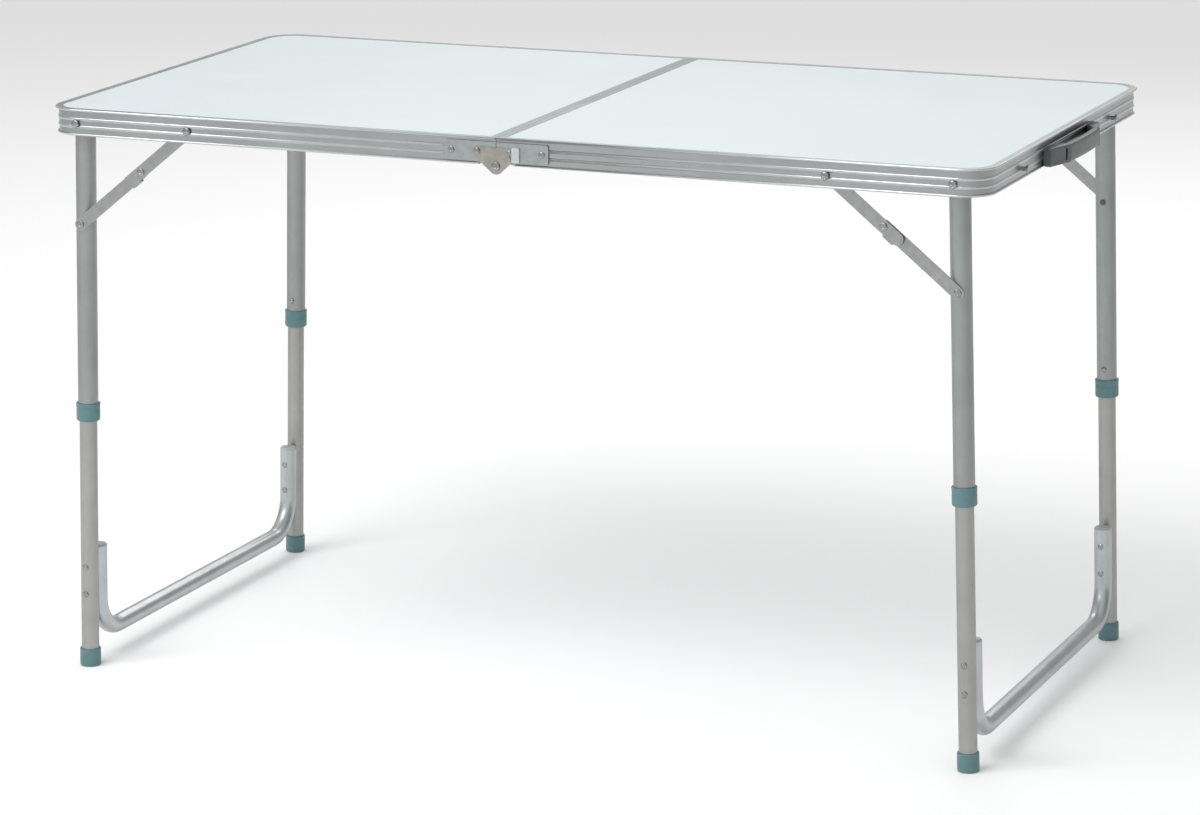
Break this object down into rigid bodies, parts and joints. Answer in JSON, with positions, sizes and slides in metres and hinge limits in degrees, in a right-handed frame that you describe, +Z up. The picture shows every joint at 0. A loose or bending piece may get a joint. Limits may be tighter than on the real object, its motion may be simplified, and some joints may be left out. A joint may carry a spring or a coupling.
{
  "type": "folding table",
  "caption": "Folding camping table with two panelled aluminium-framed halves, telescopic legs on folding braces and a carrying handle.",
  "frame": {"origin": "on the floor, under the middle of the table's box", "axes": "+Z up, +X along the table towards the end with the handle, -Y towards the front long side"},
  "size_m": [1.22, 0.6316, 0.71],
  "materials": {
    "panel": "white laminated board, smooth satin face",
    "rail": "satin anodised extrusion",
    "upper_tube": "grey anodised drawn tube",
    "lower_tube": "grey anodised drawn tube",
    "crossbar": "bright drawn tube",
    "teal_plastic": "moulded, satin",
    "handle_plastic": "moulded, fine grain",
    "hinge_steel": "plated sheet",
    "link_steel": "plated strip",
    "zinc_steel": "zinc plated",
    "spring_steel": "spring strip",
    "bright_steel": "bright plated fasteners"
  },
  "bodies": {
    "left_table": {"hinge_pins": "bright_steel", "hinge_plates": "hinge_steel", "latch_rivets": "bright_steel", "left_brace_bolts": "bright_steel", "left_centre_rail": "rail", "left_hinge_leaves": "zinc_steel", "left_hinge_rivets": "bright_steel", "left_leg_pivot_bolts": "bright_steel", "left_outer_rail": "rail", "left_panel": "panel", "left_spacers": "zinc_steel"},
    "right_table": {"handle_blocks": "handle_plastic", "handle_grip": "handle_plastic", "handle_screws": "bright_steel", "hinge_stop_blocks": "zinc_steel", "hinge_studs": "bright_steel", "latch_studs": "bright_steel", "right_brace_bolts": "bright_steel", "right_centre_rail": "rail", "right_hinge_leaves": "zinc_steel", "right_hinge_rivets": "bright_steel", "right_leg_pivot_bolts": "bright_steel", "right_outer_rail": "rail", "right_panel": "panel", "right_spacers": "zinc_steel"},
    "back_latch_hook": {"back_latch_hook": "zinc_steel"},
    "front_latch_hook": {"front_latch_hook": "zinc_steel"},
    "left_back_snap_button": {"left_back_snap_button": "bright_steel"},
    "left_foot_frame": {"left_back_lower_leg": "lower_tube", "left_button_springs": "spring_steel", "left_crossbar": "crossbar", "left_crossbar_plugs": "teal_plastic", "left_crossbar_rivets": "bright_steel", "left_feet": "teal_plastic", "left_front_lower_leg": "lower_tube"},
    "left_front_snap_button": {"left_front_snap_button": "bright_steel"},
    "left_leg_frame": {"left_back_upper_leg": "upper_tube", "left_collars": "teal_plastic", "left_front_upper_leg": "upper_tube", "left_leg_rivets": "bright_steel"},
    "left_lower_brace": {"left_link_rivets": "bright_steel", "left_lower_links": "link_steel"},
    "left_upper_brace": {"left_upper_links": "link_steel"},
    "right_back_snap_button": {"right_back_snap_button": "bright_steel"},
    "right_foot_frame": {"right_back_lower_leg": "lower_tube", "right_button_springs": "spring_steel", "right_crossbar": "crossbar", "right_crossbar_plugs": "teal_plastic", "right_crossbar_rivets": "bright_steel", "right_feet": "teal_plastic", "right_front_lower_leg": "lower_tube"},
    "right_front_snap_button": {"right_front_snap_button": "bright_steel"},
    "right_leg_frame": {"right_back_upper_leg": "upper_tube", "right_collars": "teal_plastic", "right_front_upper_leg": "upper_tube", "right_leg_rivets": "bright_steel"},
    "right_lower_brace": {"right_link_rivets": "bright_steel", "right_lower_links": "link_steel"},
    "right_upper_brace": {"right_upper_links": "link_steel"}
  },
  "joints": [
    {"name": "centre_fold", "type": "hinge", "parent": "left_table", "child": "right_table", "pos_m": [-0.01, 0, 0.676], "axis": [0, 1, 0], "range_deg": [0, 78]},
    {"name": "left_leg_fold", "type": "hinge", "parent": "left_table", "child": "left_leg_frame", "pos_m": [-0.5675, 0, 0.6915], "axis": [0, -1, 0], "range_deg": [0, 88.85]},
    {"name": "left_upper_brace_fold", "type": "hinge", "parent": "left_table", "child": "left_upper_brace", "pos_m": [-0.416, 0, 0.6915], "axis": [0, -1, 0], "range_deg": [-0.5, 136.79]},
    {"name": "left_lower_brace_fold", "type": "hinge", "parent": "left_upper_brace", "child": "left_lower_brace", "pos_m": [-0.48367, 0, 0.63652], "axis": [0, 1, 0], "range_deg": [-0.5, 176.38]},
    {"name": "left_height_slide", "type": "slide", "parent": "left_leg_frame", "child": "left_foot_frame", "axis": [0.0279, 0, 0.9996], "range_m": [0, 0.158]},
    {"name": "left_front_button_press", "type": "slide", "parent": "left_leg_frame", "child": "left_front_snap_button", "axis": [0, 1, 0], "range_m": [-0.003, 0], "stiffness_N_per_m": 800, "springref_m": 0.0005},
    {"name": "left_back_button_press", "type": "slide", "parent": "left_leg_frame", "child": "left_back_snap_button", "axis": [0, -1, 0], "range_m": [-0.003, 0], "stiffness_N_per_m": 800, "springref_m": 0.0005},
    {"name": "right_leg_fold", "type": "hinge", "parent": "right_table", "child": "right_leg_frame", "pos_m": [0.5475, 0, 0.6915], "axis": [0, 1, 0], "range_deg": [0, 88.85]},
    {"name": "right_upper_brace_fold", "type": "hinge", "parent": "right_table", "child": "right_upper_brace", "pos_m": [0.396, 0, 0.6915], "axis": [0, 1, 0], "range_deg": [-0.5, 136.79]},
    {"name": "right_lower_brace_fold", "type": "hinge", "parent": "right_upper_brace", "child": "right_lower_brace", "pos_m": [0.46366, 0, 0.63652], "axis": [0, -1, 0], "range_deg": [-0.5, 176.38]},
    {"name": "right_height_slide", "type": "slide", "parent": "right_leg_frame", "child": "right_foot_frame", "axis": [-0.0279, 0, 0.9996], "range_m": [0, 0.158]},
    {"name": "right_front_button_press", "type": "slide", "parent": "right_leg_frame", "child": "right_front_snap_button", "axis": [0, 1, 0], "range_m": [-0.003, 0], "stiffness_N_per_m": 800, "springref_m": 0.0005},
    {"name": "right_back_button_press", "type": "slide", "parent": "right_leg_frame", "child": "right_back_snap_button", "axis": [0, -1, 0], "range_m": [-0.003, 0], "stiffness_N_per_m": 800, "springref_m": 0.0005},
    {"name": "front_latch_swing", "type": "hinge", "parent": "left_table", "child": "front_latch_hook", "pos_m": [-0.6082, -0.18, 0.6915], "axis": [-1, 0, 0], "range_deg": [0, 90]},
    {"name": "back_latch_swing", "type": "hinge", "parent": "left_table", "child": "back_latch_hook", "pos_m": [-0.6082, 0.18, 0.6915], "axis": [1, 0, 0], "range_deg": [0, 90]}
  ],
  "couplings": [
    {"joint": "left_upper_brace_fold", "follows": "left_leg_fold", "ratio": 1.5339},
    {"joint": "left_lower_brace_fold", "follows": "left_leg_fold", "ratio": 1.9795},
    {"joint": "right_upper_brace_fold", "follows": "right_leg_fold", "ratio": 1.5339},
    {"joint": "right_lower_brace_fold", "follows": "right_leg_fold", "ratio": 1.9795}
  ]
}
